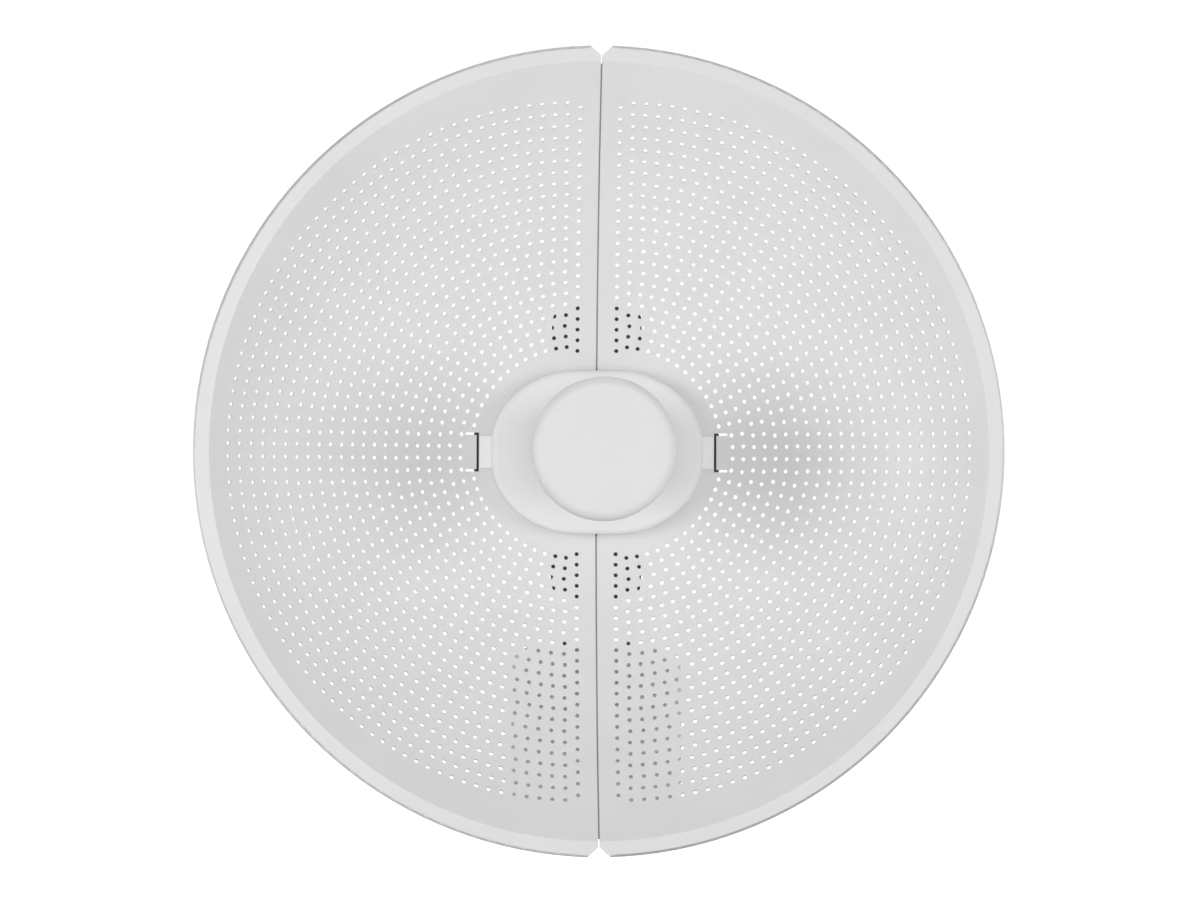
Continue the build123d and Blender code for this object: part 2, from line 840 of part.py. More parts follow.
with BuildPart() as radio_rear_shell:
    with BuildSketch(ahead(box_rear)):
        box_outline(0)
    extrude(amount=box_part - box_rear)
    fillet(radio_rear_shell.faces().sort_by(Axis.Y)[-1].edges(), box_edge)
    with BuildSketch(ahead(bay_rear)):
        box_outline(box_wall)
    extrude(amount=box_part - bay_rear, mode=Mode.SUBTRACT)
    # walls of the port bay, and posts and bosses on the rear wall
    with BuildSketch(ahead(box_rear + box_wall / 2)):
        with Locations((0, -box_bottom + (bay_depth + bay_wall) / 2 + box_wall / 2)):
            Rectangle(bay_width + 2 * bay_wall, bay_depth + bay_wall - box_wall)
        with Locations(*post_places):
            Circle(post_radius)
    extrude(amount=box_part - box_rear - box_wall / 2)
    with BuildSketch(ahead(box_rear + box_wall / 2)):
        with Locations(earth_place):
            Circle(insert_radius + boss_wall)
    extrude(amount=insert_length + box_wall / 2)
    with BuildSketch(ahead(bay_rear)):
        with Locations((0, -box_bottom + bay_depth / 2)):
            Rectangle(bay_width, bay_depth)
    extrude(amount=bay_front - bay_rear, mode=Mode.SUBTRACT)
    # openings in the bay's roof: jack mouth and reset button
    with BuildSketch(Plane.XY.offset(-bay_roof - bay_wall / 2)):
        with Locations(jack_place):
            Rectangle(jack_width + 2 * screw_gap, jack_depth + screw_gap)
        with Locations(button_place):
            Circle(button_radius + button_gap)
    extrude(amount=2 * bay_wall, mode=Mode.SUBTRACT)
    # shell screws, mount screws and the way for the leads
    with BuildSketch(ahead(box_rear)):
        with Locations(*post_places):
            Circle(m3_radius + screw_gap)
    extrude(amount=box_part - box_rear, mode=Mode.SUBTRACT)
    with BuildSketch(ahead(box_rear)):
        with Locations(*post_places):
            Circle(m3_head_radius + screw_gap)
    extrude(amount=m3_head_height + head_sink, mode=Mode.SUBTRACT)
    with BuildSketch(ahead(box_rear)):
        with Locations((0, -box_top - post_from_edge - label_height)):
            RectangleRounded(label_width, label_height, label_corner)
    extrude(amount=label_depth, mode=Mode.SUBTRACT)
    with BuildSketch(Plane.XY.offset(-box_top)):
        with Locations(*hanger_places):
            Circle(m3_radius + screw_gap)
        with Locations((0, -lead_ahead)):
            SlotOverall(lead_slot_length, lead_slot_width)
    extrude(amount=-2 * box_wall, mode=Mode.SUBTRACT)
    # light pipes, vent and earth insert
    with BuildSketch(ahead(box_rear)):
        with Locations(*light_places):
            Circle(light_radius + touch_gap)
        with Locations(vent_place):
            Circle(vent_radius / 2 + touch_gap)
        with Locations(earth_place):
            Circle(insert_radius)
    extrude(amount=insert_length, mode=Mode.SUBTRACT)
    # seats of the door's pin in the bay's side walls
    with BuildSketch(Plane.YZ.offset(-bay_width / 2 - bay_wall / 2)):
        with Locations((-pin_ahead, pin_z)):
            Circle(door_pin_radius)
    extrude(amount=bay_width + bay_wall, mode=Mode.SUBTRACT)

save(radio_rear_shell, "radio_rear_shell")

with BuildPart() as shell_screws:
    screw_seat = box_rear + head_sink + m3_head_height
    with BuildSketch(ahead(box_rear + head_sink)):
        with Locations(*post_places):
            Circle(m3_head_radius)
            RegularPolygon(m3_socket, 6, mode=Mode.SUBTRACT)
    extrude(amount=m3_head_height / 2)
    with BuildSketch(ahead(screw_seat - m3_head_height / 2)):
        with Locations(*post_places):
            Circle(m3_head_radius)
    extrude(amount=m3_head_height / 2)
    with BuildSketch(ahead(screw_seat)):
        with Locations(*post_places):
            Circle(m3_radius)
    extrude(amount=box_front - box_wall - boss_front - screw_seat)

save(shell_screws, "shell_screws")

with BuildPart() as hanger_screws:
    with BuildSketch(Plane.XY.offset(-box_top - box_wall - m3_head_height)):
        with Locations(*hanger_places):
            Circle(m3_head_radius)
            RegularPolygon(m3_socket, 6, mode=Mode.SUBTRACT)
    extrude(amount=m3_head_height / 2)
    with BuildSketch(Plane.XY.offset(-box_top - box_wall - m3_head_height / 2)):
        with Locations(*hanger_places):
            Circle(m3_head_radius)
    extrude(amount=m3_head_height / 2)
    with BuildSketch(Plane.XY.offset(-box_top - box_wall)):
        with Locations(*hanger_places):
            Circle(m3_radius)
    extrude(amount=box_wall + drop_flange_thick)

save(hanger_screws, "hanger_screws")

# ---------------------------------------------------------------- radio board
# The board stands across the box. Its front carries the shielding can under the heat
# spreader, and its rear the cable jack, the reset switch and the status lights.
board_top = box_top + box_wall + board_inset
board_bottom = bay_roof - bay_wall - board_gap
board_width = box_width - 2 * (box_wall + board_inset)
board_front = board_ahead + board_thick
board_middle = (0, -(board_top + board_bottom) / 2)

with BuildPart() as main_board:
    with BuildSketch(ahead(board_ahead)):
        with Locations(board_middle):
            RectangleRounded(board_width, board_bottom - board_top, board_corner)
        with Locations(*post_places):
            Circle(post_radius + 2 * screw_gap, mode=Mode.SUBTRACT)
    extrude(amount=board_thick)

save(main_board, "main_board")

with BuildPart() as shielding_can:
    with BuildSketch(ahead(board_front)):
        with Locations(board_middle):
            Rectangle(can_width, can_height)
    extrude(amount=can_depth)
    fillet(shielding_can.faces().sort_by(Axis.Y)[0].edges(), 2 * can_wall)
    with BuildSketch(ahead(board_front)):
        with Locations(board_middle):
            Rectangle(can_width - 2 * can_wall, can_height - 2 * can_wall)
    extrude(amount=can_depth - can_wall, mode=Mode.SUBTRACT)

save(shielding_can, "shielding_can")

with BuildPart() as heat_spreader:
    with BuildSketch(ahead(board_front + can_depth)):
        with Locations(board_middle):
            RectangleRounded(can_width + 2 * spreader_margin, can_height + spreader_margin, board_corner)
    extrude(amount=spreader_thick)

save(heat_spreader, "heat_spreader")

with BuildPart() as ethernet_jack:
    with BuildSketch(Plane.XY.offset(-bay_roof)):
        with Locations(jack_place):
            Rectangle(jack_width, jack_depth)
    extrude(amount=jack_length)
    with BuildSketch(Plane.XY.offset(-bay_roof)):
        with Locations(jack_place):
            Rectangle(socket_width, socket_height)
        with Locations((0, jack_place[1] + socket_height / 2)):
            Rectangle(socket_width / 2, latch_height)
    extrude(amount=socket_depth, mode=Mode.SUBTRACT)

save(ethernet_jack, "ethernet_jack")

button_foot = -bay_roof - button_proud
button_length = button_proud + bay_wall + button_gap + button_collar
switch_foot = button_foot + button_length + button_travel + 2 * touch_gap

with BuildPart() as reset_switch:
    with BuildSketch(Plane.XY.offset(switch_foot)):
        with Locations((button_place[0], -board_ahead + jack_depth / 2 - board_gap)):
            Rectangle(switch_width, jack_depth - 2 * board_gap)
    extrude(amount=switch_height)

save(reset_switch, "reset_switch")

with BuildPart() as reset_button:
    with BuildSketch(Plane.XY.offset(button_foot)):
        with Locations(button_place):
            Circle(button_radius)
    extrude(amount=button_length)
    fillet(reset_button.faces().sort_by(Axis.Z)[0].edges(), button_radius / 5)
    with BuildSketch(Plane.XY.offset(button_foot + button_length - button_collar)):
        with Locations(button_place):
            Circle(button_radius + button_collar)
    extrude(amount=button_collar)

save(reset_button, "reset_button")

with BuildPart() as light_pipe:
    with BuildSketch(ahead(box_rear - button_gap)):
        with Locations(*light_places):
            Circle(light_radius)
    extrude(amount=board_ahead - box_rear - board_gap)
    with BuildSketch(ahead(board_ahead - 2 * light_bar - board_gap)):
        with Locations((light_places[0][0] + light_pitch * (light_count - 1) / 2, light_z)):
            Rectangle(light_pitch * (light_count - 1), light_bar)
    extrude(amount=light_bar)

save(light_pipe, "light_pipe")

with BuildPart() as vent_plug:
    with BuildSketch(ahead(box_rear - vent_head)):
        with Locations(vent_place):
            Circle(vent_radius)
            with PolarLocations((vent_radius + vent_hole) / 2, 6):
                Circle(vent_hole, mode=Mode.SUBTRACT)
    extrude(amount=vent_head)
    with BuildSketch(ahead(box_rear)):
        with Locations(vent_place):
            Circle(vent_radius / 2)
    extrude(amount=box_wall + board_gap)

save(vent_plug, "vent_plug")

with BuildPart() as earth_insert:
    with BuildSketch(ahead(box_rear)):
        with Locations(earth_place):
            Circle(insert_radius)
            Circle(m4_radius, mode=Mode.SUBTRACT)
    extrude(amount=insert_length)

save(earth_insert, "earth_insert")

with BuildPart() as earth_washer:
    with BuildSketch(ahead(box_rear - earth_washer_thick)):
        with Locations(earth_place):
            Circle(earth_washer_radius)
            Circle(m4_radius + screw_gap, mode=Mode.SUBTRACT)
    extrude(amount=earth_washer_thick)

save(earth_washer, "earth_washer")

with BuildPart() as earth_screw:
    with BuildSketch(ahead(box_rear - earth_washer_thick - m4_head_height)):
        with Locations(earth_place):
            RegularPolygon(m4_head_radius, 6)
    extrude(amount=m4_head_height)
    with BuildSketch(ahead(box_rear - earth_washer_thick)):
        with Locations(earth_place):
            Circle(m4_radius)
    extrude(amount=insert_length)

save(earth_screw, "earth_screw")

# ---------------------------------------------------------------- port door
# A flap that closes the bay from below. It turns on a steel pin along its front edge,
# and a rubber gland in it seals the network cable.
door_half_width = bay_width / 2 - door_gap
gland_place = (0, -(bay_rear + 2 * door_gap + gland_flange))

with BuildPart() as port_door:
    with BuildSketch(Plane.XY.offset(-box_bottom)):
        with Locations((0, -(bay_rear + door_gap + pin_ahead) / 2)):
            Rectangle(2 * door_half_width, pin_ahead - bay_rear - door_gap)
    extrude(amount=door_thick)
    with BuildSketch(Plane.YZ.offset(-door_half_width)):
        with Locations((-pin_ahead, pin_z)):
            Circle(barrel_radius)
    extrude(amount=2 * door_half_width)
    with BuildSketch(Plane.YZ.offset(-door_half_width)):
        with Locations((-pin_ahead, pin_z)):
            Circle(door_pin_radius + door_pin_gap)
    extrude(amount=2 * door_half_width, mode=Mode.SUBTRACT)
    with BuildSketch(Plane.XY.offset(-box_bottom)):
        with Locations(gland_place):
            Circle(gland_radius)
    extrude(amount=door_thick, mode=Mode.SUBTRACT)

save(port_door, "port_door")

with BuildPart() as cable_gland:
    with BuildSketch(Plane.XY.offset(-box_bottom - gland_lip)):
        with Locations(gland_place):
            Circle(gland_flange)
    extrude(amount=gland_lip)
    with BuildSketch(Plane.XY.offset(-box_bottom)):
        with Locations(gland_place):
            Circle(gland_radius)
    extrude(amount=door_thick)
    with BuildSketch(Plane.XY.offset(-box_bottom + door_thick)):
        with Locations(gland_place):
            Circle(gland_flange)
    extrude(amount=gland_lip)
    with BuildSketch(Plane.XY.offset(-box_bottom - gland_lip)):
        with Locations(gland_place):
            Circle(gland_bore)
    extrude(amount=door_thick + 2 * gland_lip, mode=Mode.SUBTRACT)

save(cable_gland, "cable_gland")

with BuildPart() as door_pin:
    with BuildSketch(Plane.YZ.offset(-bay_width / 2 - bay_wall / 2)):
        with Locations((-pin_ahead, pin_z)):
            Circle(door_pin_radius)
    extrude(amount=bay_width + bay_wall)

save(door_pin, "door_pin")

# ---------------------------------------------------------------- tilt joint
# The saddle's ear stands between the cradle's lugs on one long bolt. A wing nut on the
# bolt's right end clamps the tilt.
lug_outer = lug_inner + lug_thick
washer_inner = lug_outer + turn_gap
washer_outer = washer_inner + washer_thick
nut_foot = washer_outer + turn_gap

with BuildPart() as tilt_bolt:
    with BuildSketch(Plane.YZ.offset(-washer_outer - bolt_head_thick)):
        with Locations((-pole_to_tilt, 0)):
            RegularPolygon(bolt_head_radius, 6)
    extrude(amount=bolt_head_thick)
    with BuildSketch(Plane.YZ.offset(-washer_outer)):
        with Locations((-pole_to_tilt, 0)):
            Circle(bolt_radius)
    extrude(amount=washer_outer + nut_foot + nut_length + bolt_overhang)
    chamfer(tilt_bolt.faces().sort_by(Axis.X)[-1].edges(), bolt_radius / 5)

save(tilt_bolt, "tilt_bolt")

with BuildPart() as tilt_washers:
    with BuildSketch(Plane.YZ.offset(washer_inner)):
        with Locations((-pole_to_tilt, 0)):
            Circle(washer_radius)
            Circle(bolt_radius + screw_gap, mode=Mode.SUBTRACT)
    extrude(amount=washer_thick)
    mirror(about=Plane.YZ)

save(tilt_washers, "tilt_washers")

with BuildPart() as wing_nut:
    with BuildSketch(Plane.YZ.offset(nut_foot)):
        with Locations((-pole_to_tilt, 0)):
            Circle(nut_radius)
    extrude(amount=nut_length, taper=nut_taper)
    for side in (1, -1):
        with BuildSketch(Plane.XZ.offset(pole_to_tilt - wing_thick / 2)):
            with BuildLine():
                Polyline(
                    (nut_foot + wing_rise / 3, side * (nut_radius - wing_root)),
                    (nut_foot + wing_rise, side * wing_reach),
                    (nut_foot + wing_rise + wing_length, side * wing_reach),
                    (nut_foot + nut_length - wing_rise / 4, side * (nut_radius - wing_root)),
                    close=True,
                )
            make_face()
            with Locations((nut_foot + wing_rise + wing_length / 2, side * wing_reach)):
                Ellipse(wing_length / 2, wing_thick)
        extrude(amount=wing_thick)
    with BuildSketch(Plane.YZ.offset(nut_foot)):
        with Locations((-pole_to_tilt, 0)):
            Circle(bolt_radius + nut_gap)
    extrude(amount=2 * nut_length, mode=Mode.SUBTRACT)

save(wing_nut, "wing_nut")

# ---------------------------------------------------------------- pole saddle
# The saddle has a shallow vee with two rubber pads against the pole. Two worm-drive
# bands pass round the pole and over the saddle's front, between low ridges.
vee_half = radians(vee_angle)
ear_root = lug_radius + saddle_shoulder
vee_face = pole_radius + pad_thick
saddle_side = saddle_half_width + saddle_ridge
vee_depth = vee_face / cos(vee_half)
vee_edge = (vee_face - saddle_side * sin(vee_half)) / cos(vee_half)

with BuildSketch() as band_inside:
    Circle(pole_radius)
    with Locations(
        (saddle_half_width - band_corner, band_corner - saddle_front),
        (band_corner - saddle_half_width, band_corner - saddle_front),
    ):
        Circle(band_corner)
    make_hull()

with BuildPart() as pole_saddle:
    with BuildSketch(Plane.XY.offset(-saddle_height / 2)):
        with BuildLine():
            Polyline(
                (-saddle_side, -saddle_front - saddle_ridge),
                (saddle_side, -saddle_front - saddle_ridge),
                (saddle_side, -vee_edge),
                (0, -vee_depth),
                (-saddle_side, -vee_edge),
                close=True,
            )
        saddle_face = make_face()
        fillet(saddle_face.vertices().sort_by(Axis.Y)[:2], band_corner + saddle_ridge)
    extrude(amount=saddle_height)
    for z in (-band_spacing / 2, band_spacing / 2):
        with BuildSketch(Plane.XY.offset(z - band_width / 2 - band_gap)):
            Rectangle(6 * pole_radius, 6 * pole_radius)
            add(band_inside.sketch, mode=Mode.SUBTRACT)
        extrude(amount=band_width + 2 * band_gap, mode=Mode.SUBTRACT)
    with BuildSketch(Plane.YZ):
        with BuildLine():
            CenterArc((-pole_to_tilt, 0), lug_radius, 90, 180)
            Line((-pole_to_tilt, -lug_radius), (-saddle_front, -ear_root))
            Line((-saddle_front, -ear_root), (-saddle_front, ear_root))
            Line((-saddle_front, ear_root), (-pole_to_tilt, lug_radius))
        make_face()
    extrude(amount=ear_thick / 2, both=True)
    with BuildSketch(Plane.YZ):
        with Locations((-pole_to_tilt, 0)):
            Circle(bolt_radius + bolt_gap)
    extrude(amount=ear_thick, both=True, mode=Mode.SUBTRACT)

save(pole_saddle, "pole_saddle")

with BuildPart() as saddle_pads:
    for side in (1, -1):
        outward = (side * sin(vee_half), -cos(vee_half), 0)
        seat = (pole_radius * outward[0], pole_radius * outward[1], 0)
        with BuildSketch(Plane(origin=seat, x_dir=(0, 0, 1), z_dir=outward)):
            RectangleRounded(saddle_height - 2 * pad_inset, pad_width, pad_corner)
        extrude(amount=pad_thick)

save(saddle_pads, "saddle_pads")

# ---------------------------------------------------------------- pole clamps
worm_x = pole_radius + band_thick + housing_gap + housing_depth / 2
housing_width = band_width + 2 * housing_side

for place, z in (("upper", band_spacing / 2), ("lower", -band_spacing / 2)):
    with BuildPart() as clamp_band:
        with BuildSketch(Plane.XY.offset(z - band_width / 2)):
            add(band_inside.sketch)
            offset(amount=band_thick, mode=Mode.REPLACE)
            add(band_inside.sketch, mode=Mode.SUBTRACT)
        extrude(amount=band_width)
        # slots that the worm screw drives, round the back of the pole
        for i in range(slot_count):
            angle = 180 - slot_pitch_angle * (slot_count / 2 - 0.5 - i)
            outward = Vector(0, -1, 0).rotate(Axis.Z, angle)
            with BuildSketch(Plane(origin=(0, 0, z), x_dir=(0, 0, 1), z_dir=outward)):
                SlotOverall(slot_across, slot_along, rotation=slot_tilt)
            extrude(amount=2 * pole_radius, mode=Mode.SUBTRACT)
    save(clamp_band, f"clamp_band_{place}")

    with BuildPart() as clamp_housing:
        with BuildSketch(Plane.XZ.offset(-housing_length / 2)):
            with Locations((worm_x, z)):
                RectangleRounded(housing_depth, housing_width, housing_corner)
        extrude(amount=housing_length)
        with BuildSketch(Plane.XZ.offset(-housing_length / 2)):
            with Locations((worm_x, z)):
                Circle(worm_radius + worm_gap)
        extrude(amount=housing_length, mode=Mode.SUBTRACT)
    save(clamp_housing, f"clamp_housing_{place}")

    with BuildPart() as worm_screw:
        with BuildSketch(Plane.XZ.offset(-housing_length / 2 - worm_neck)):
            with Locations((worm_x, z)):
                Circle(worm_radius)
        extrude(amount=housing_length + worm_neck + worm_overhang)
        with BuildSketch(Plane.XZ.offset(-housing_length / 2 - worm_neck - worm_head_length)):
            with Locations((worm_x, z)):
                RegularPolygon(worm_head_radius, 6)
        extrude(amount=worm_head_length)
        with BuildSketch(Plane.XZ.offset(-housing_length / 2 - worm_neck - worm_head_length)):
            with Locations((worm_x, z)):
                Rectangle(2 * worm_head_radius, worm_slot)
        extrude(amount=worm_slot_depth, mode=Mode.SUBTRACT)
    save(worm_screw, f"worm_screw_{place}")
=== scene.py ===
import math

import bpy
from mathutils import Matrix, Vector


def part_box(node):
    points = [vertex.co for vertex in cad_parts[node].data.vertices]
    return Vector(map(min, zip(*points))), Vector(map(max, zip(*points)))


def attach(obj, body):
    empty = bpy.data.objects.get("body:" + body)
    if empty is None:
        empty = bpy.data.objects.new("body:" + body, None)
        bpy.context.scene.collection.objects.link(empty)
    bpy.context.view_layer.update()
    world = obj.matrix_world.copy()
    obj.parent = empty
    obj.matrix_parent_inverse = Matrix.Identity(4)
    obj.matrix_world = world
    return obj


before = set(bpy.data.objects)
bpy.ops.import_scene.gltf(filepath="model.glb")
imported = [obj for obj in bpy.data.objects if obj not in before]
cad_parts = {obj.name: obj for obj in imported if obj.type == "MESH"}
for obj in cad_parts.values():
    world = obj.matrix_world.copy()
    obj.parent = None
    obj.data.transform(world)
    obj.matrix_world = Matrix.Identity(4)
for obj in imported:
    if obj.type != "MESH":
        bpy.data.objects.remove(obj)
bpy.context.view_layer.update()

# ---------------------------------------------------------------- studio
# A white studio: pale floor, even white surroundings, three soft boxes in front, and four
# behind, which light the rim and the box. The camera stands a little left of the axis.
rim_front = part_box("reflector_left")[0].y
dish_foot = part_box("reflector_left")[0].z
dish_centre = (0, rim_front + 0.05, 0)

eye = bpy.data.cameras.new("camera")
eye.sensor_width = 36.0
eye.lens = 91.5
camera = bpy.data.objects.new("camera", eye)
camera.location = (-0.045, rim_front - 1.5, -0.022)
look_at = Vector((-0.0002, rim_front, 0.0003))
camera.rotation_euler = (look_at - camera.location).to_track_quat("-Z", "Y").to_euler()
camera.rotation_euler.rotate_axis("Z", math.radians(0.2))
bpy.context.scene.collection.objects.link(camera)
bpy.context.scene.camera = camera

bpy.ops.object.select_all(action="DESELECT")
floor_place = (0, 0, dish_foot - 0.03)
bpy.ops.mesh.primitive_circle_add(vertices=96, radius=6.0, fill_type="NGON", location=floor_place)
floor = bpy.context.object
floor.name = "studio_floor"
floor_paint = bpy.data.materials.new("studio_floor")
floor_paint.use_nodes = True
floor_shader = floor_paint.node_tree.nodes["Principled BSDF"]
floor_shader.inputs["Base Color"].default_value = (0.75, 0.75, 0.75, 1)
floor_shader.inputs["Roughness"].default_value = 0.9
floor_glow = floor_paint.node_tree.nodes.new("ShaderNodeEmission")
floor_glow.inputs["Strength"].default_value = 0.8
floor_sum = floor_paint.node_tree.nodes.new("ShaderNodeAddShader")
floor_ray = floor_paint.node_tree.nodes.new("ShaderNodeLightPath")
floor_mix = floor_paint.node_tree.nodes.new("ShaderNodeMixShader")
floor_links = floor_paint.node_tree.links
floor_links.new(floor_shader.outputs[0], floor_sum.inputs[0])
floor_links.new(floor_glow.outputs[0], floor_sum.inputs[1])
floor_links.new(floor_ray.outputs["Is Camera Ray"], floor_mix.inputs[0])
floor_links.new(floor_shader.outputs[0], floor_mix.inputs[1])
floor_links.new(floor_sum.outputs[0], floor_mix.inputs[2])
floor_links.new(floor_mix.outputs[0], floor_paint.node_tree.nodes["Material Output"].inputs["Surface"])
floor.data.materials.append(floor_paint)

surroundings = bpy.data.worlds.new("white_surroundings")
surroundings.use_nodes = True
sky = surroundings.node_tree
sky_shader = sky.nodes["Background"]
sky_shader.inputs["Color"].default_value = (1, 1, 1, 1)
sky_shader.inputs["Strength"].default_value = 0.38
seen_sky = sky.nodes.new("ShaderNodeBackground")
seen_sky.inputs["Color"].default_value = (1, 1, 1, 1)
seen_sky.inputs["Strength"].default_value = 1.05
ray = sky.nodes.new("ShaderNodeLightPath")
sky_mix = sky.nodes.new("ShaderNodeMixShader")
sky.links.new(ray.outputs["Is Camera Ray"], sky_mix.inputs[0])
sky.links.new(sky_shader.outputs[0], sky_mix.inputs[1])
sky.links.new(seen_sky.outputs[0], sky_mix.inputs[2])
sky.links.new(sky_mix.outputs[0], sky.nodes["World Output"].inputs["Surface"])
bpy.context.scene.world = surroundings
bpy.context.scene.view_settings.view_transform = "Standard"


def soft_box(name, place, size, power, aim):
    """A square soft box that faces a point."""
    lamp = bpy.data.lights.new(name, "AREA")
    lamp.shape = "SQUARE"
    lamp.size = size
    lamp.energy = power
    holder = bpy.data.objects.new(name, lamp)
    holder.location = place
    holder.rotation_euler = (Vector(aim) - Vector(place)).to_track_quat("-Z", "Y").to_euler()
    bpy.context.scene.collection.objects.link(holder)


soft_box("soft_box_left", (-1.0, rim_front - 1.3, 0.0), 0.7, 9.5, dish_centre)
soft_box("soft_box_right", (1.0, rim_front - 1.3, 0.0), 0.7, 6.6, dish_centre)
soft_box("soft_box_front", (0, rim_front - 2.2, 0.0), 0.45, 6.6, dish_centre)
soft_box("soft_box_back", (0.8, 1.6, 1.2), 1.4, 5, (0, 0, 0))
behind_dish = (0, rim_front + 0.06, -0.1)
soft_box("rim_light_left", (-0.9, rim_front + 0.27, -0.05), 0.5, 2.6, behind_dish)
soft_box("rim_light_right", (0.9, rim_front + 0.27, -0.05), 0.5, 2.6, behind_dish)
soft_box("rim_light_top", (0, rim_front + 0.27, 0.9), 0.5, 2.0, behind_dish)

# ---------------------------------------------------------------- pole saddle
# The saddle that bears on the mast is injection moulded in black glass-filled nylon. Its
# two pads are cut from ribbed black rubber sheet and glued into the vee.


def start_finish(name, roughness, metal=0.0):
    """A new material, its shader, and the object's own coordinates for its patterns."""
    paint = bpy.data.materials.new(name)
    paint.use_nodes = True
    shader = paint.node_tree.nodes["Principled BSDF"]
    shader.inputs["Metallic"].default_value = metal
    shader.inputs["Roughness"].default_value = roughness
    place = paint.node_tree.nodes.new("ShaderNodeTexCoord").outputs["Object"]
    return paint, shader, place


def speckle(paint, place, scale, detail=3.0, stretch=(1, 1, 1)):
    """A noise over the object, in features per metre, stretched along its grain."""
    tree = paint.node_tree
    turn = tree.nodes.new("ShaderNodeMapping")
    turn.inputs["Scale"].default_value = stretch
    tree.links.new(place, turn.inputs["Vector"])
    noise = tree.nodes.new("ShaderNodeTexNoise")
    noise.inputs["Scale"].default_value = scale
    noise.inputs["Detail"].default_value = detail
    tree.links.new(turn.outputs[0], noise.inputs["Vector"])
    return noise.outputs["Fac"]


def shade_between(paint, factor, dark, light, low=0.3, high=0.7):
    """A colour that follows a pattern from one shade to another."""
    ramp = paint.node_tree.nodes.new("ShaderNodeValToRGB")
    ramp.color_ramp.elements[0].position = low
    ramp.color_ramp.elements[0].color = (*dark, 1)
    ramp.color_ramp.elements[1].position = high
    ramp.color_ramp.elements[1].color = (*light, 1)
    paint.node_tree.links.new(factor, ramp.inputs[0])
    return ramp.outputs[0]


def spread(paint, factor, low, high):
    """A number that follows a pattern between two limits."""
    span = paint.node_tree.nodes.new("ShaderNodeMapRange")
    span.inputs["From Min"].default_value = 0.3
    span.inputs["From Max"].default_value = 0.7
    span.inputs["To Min"].default_value = low
    span.inputs["To Max"].default_value = high
    paint.node_tree.links.new(factor, span.inputs["Value"])
    return span.outputs[0]


def emboss(paint, shader, height, depth, strength=1.0):
    """Raises the surface by a pattern, over any relief that it has already."""
    tree = paint.node_tree
    relief = tree.nodes.new("ShaderNodeBump")
    relief.inputs["Distance"].default_value = depth
    relief.inputs["Strength"].default_value = strength
    tree.links.new(height, relief.inputs["Height"])
    if shader.inputs["Normal"].is_linked:
        tree.links.new(shader.inputs["Normal"].links[0].from_socket, relief.inputs["Normal"])
    tree.links.new(relief.outputs[0], shader.inputs["Normal"])


def grained(name, dark, light, roughness, grain, depth, metal=0.0, stretch=(1, 1, 1), broad=25):
    """A finish of broad soft shades, a fine relief, and gloss that varies with it."""
    paint, shader, place = start_finish(name, roughness, metal)
    fine = speckle(paint, place, grain, 2.0, stretch)
    clouds = speckle(paint, place, broad, 4.0, stretch)
    links = paint.node_tree.links
    links.new(shade_between(paint, clouds, dark, light), shader.inputs["Base Color"])
    links.new(spread(paint, fine, roughness - 0.07, roughness + 0.07), shader.inputs["Roughness"])
    emboss(paint, shader, fine, depth)
    return paint, shader, place


def dress(paint, *names):
    """Gives CAD nodes their finish."""
    for name in names:
        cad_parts[name].material_slots[0].material = paint


nylon, nylon_shader, nylon_place = grained(
    "glass_filled_nylon", (0.016, 0.017, 0.019), (0.026, 0.027, 0.029), 0.5, 1600, 0.00012
)
emboss(nylon, nylon_shader, speckle(nylon, nylon_place, 260, 4.0, (1, 1, 0.3)), 0.00006)
dress(nylon, "pole_saddle")

pad_rubber, pad_shader, pad_place = grained(
    "ribbed_rubber", (0.018, 0.018, 0.019), (0.03, 0.03, 0.031), 0.72, 2200, 0.00005
)
pad_ribs = pad_rubber.node_tree.nodes.new("ShaderNodeTexWave")
pad_ribs.bands_direction = "Z"
pad_ribs.inputs["Scale"].default_value = 130
pad_rubber.node_tree.links.new(pad_place, pad_ribs.inputs["Vector"])
emboss(pad_rubber, pad_shader, pad_ribs.outputs["Fac"], 0.0006)
dress(pad_rubber, "saddle_pads")

# ---------------------------------------------------------------- pole clamps
# Two worm-drive bands hold the saddle on the mast. Bands and housings are pressed from
# stainless strip, and the worm screws are turned from zinc-plated steel.
strip, strip_shader, strip_place = grained(
    "stainless_strip", (0.5, 0.51, 0.52), (0.62, 0.63, 0.64), 0.3, 700, 0.00002, 1.0, (0.06, 0.06, 1.6)
)
strip_shader.inputs["Anisotropic"].default_value = 0.4
dress(strip, "clamp_band_upper", "clamp_band_lower")

pressed, _, _ = grained(
    "stainless_pressing", (0.47, 0.48, 0.49), (0.6, 0.61, 0.62), 0.34, 500, 0.00003, 1.0, (1, 0.1, 1)
)
dress(pressed, "clamp_housing_upper", "clamp_housing_lower")

plated, _, _ = grained(
    "zinc_plate", (0.5, 0.52, 0.55), (0.66, 0.67, 0.66), 0.32, 900, 0.00003, 1.0, (1, 1, 1), 90
)
dress(plated, "worm_screw_upper", "worm_screw_lower")


